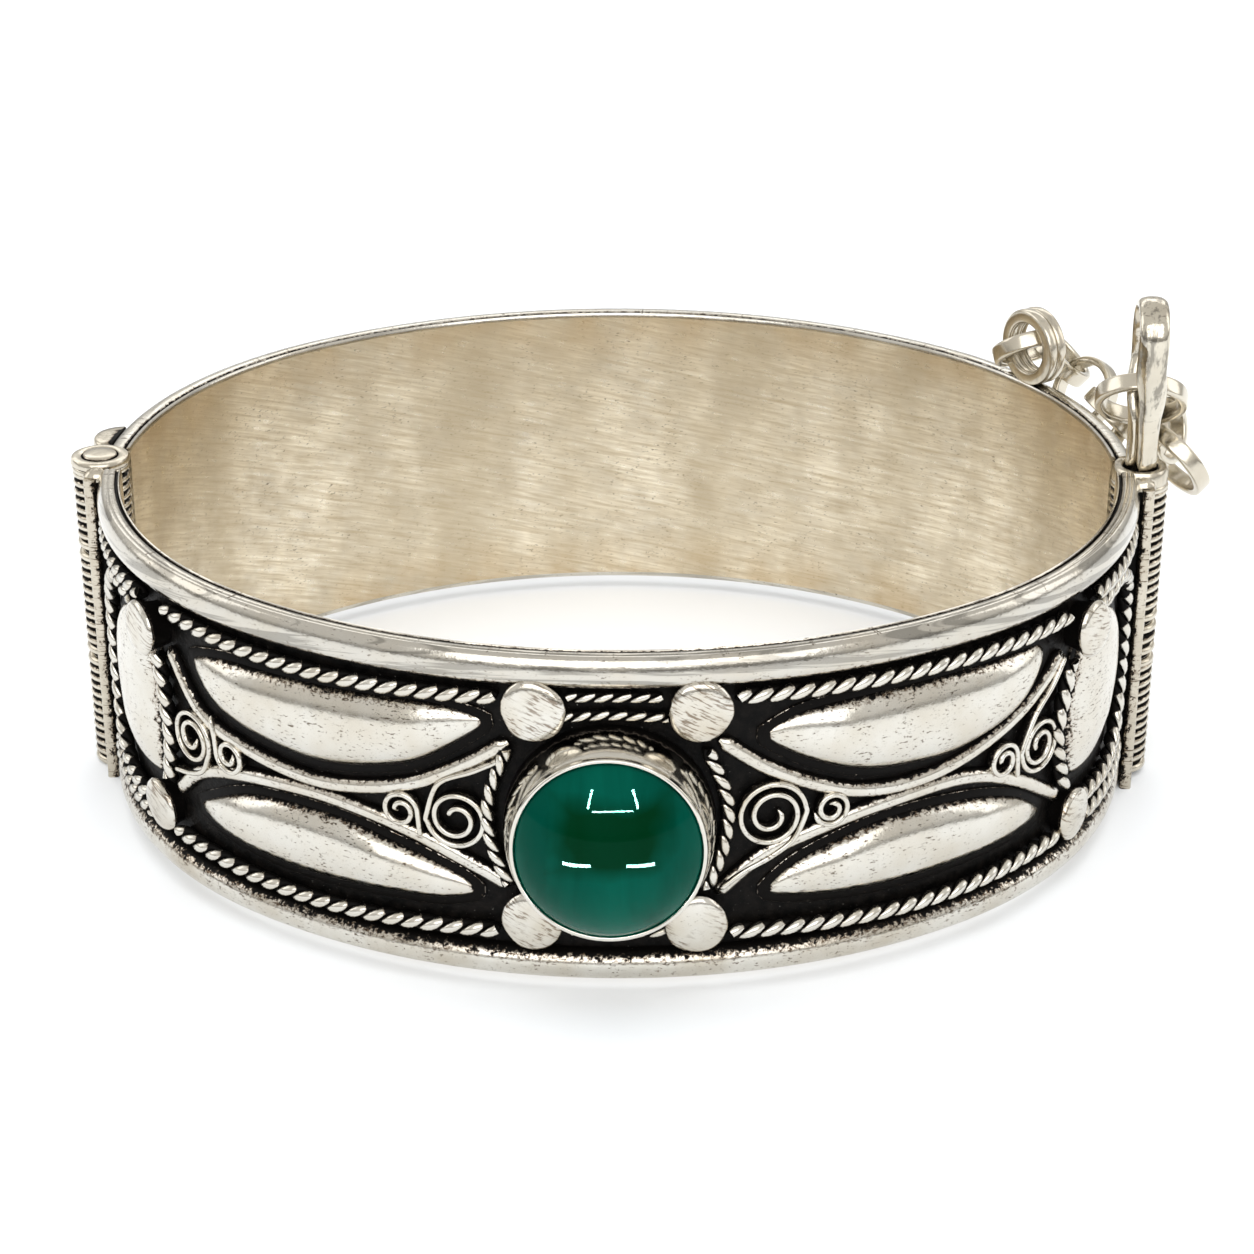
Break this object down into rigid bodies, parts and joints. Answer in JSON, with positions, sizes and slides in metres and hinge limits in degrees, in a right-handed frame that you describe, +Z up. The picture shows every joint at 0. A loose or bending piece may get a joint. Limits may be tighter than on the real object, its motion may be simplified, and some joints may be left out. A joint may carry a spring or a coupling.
{
  "type": "hinged cuff bracelet",
  "caption": "Hinged oval silver cuff with leaf and scroll ornament round a green domed stone, a plain back, and a clasp pin on a safety chain.",
  "frame": {"origin": "middle of the wrist opening, in the plane of the lower ends of the hinge and clasp bars, on which the cuff rests", "axes": "+Z up along the band's axis, +X from the hinge to the clasp, -Y towards the stone at the front"},
  "size_m": [0.0686, 0.059, 0.0308],
  "materials": {
    "silver": "worn satin silver, blackened in the recesses",
    "green_stone": "polished"
  },
  "bodies": {
    "back": {"back_half": "silver", "hinge_pin": "silver", "clasp_pin": "silver", "link_1": "silver", "link_2": "silver", "link_3": "silver", "link_4": "silver", "link_5": "silver", "link_6": "silver", "link_7": "silver", "link_8": "silver"},
    "front": {"front_half": "silver", "stone": "green_stone"}
  },
  "joints": [
    {"name": "hinge", "type": "hinge", "parent": "back", "child": "front", "pos_m": [-0.0311, 0, 0], "axis": [0, 0, -1], "range_deg": [0, 100]}
  ]
}
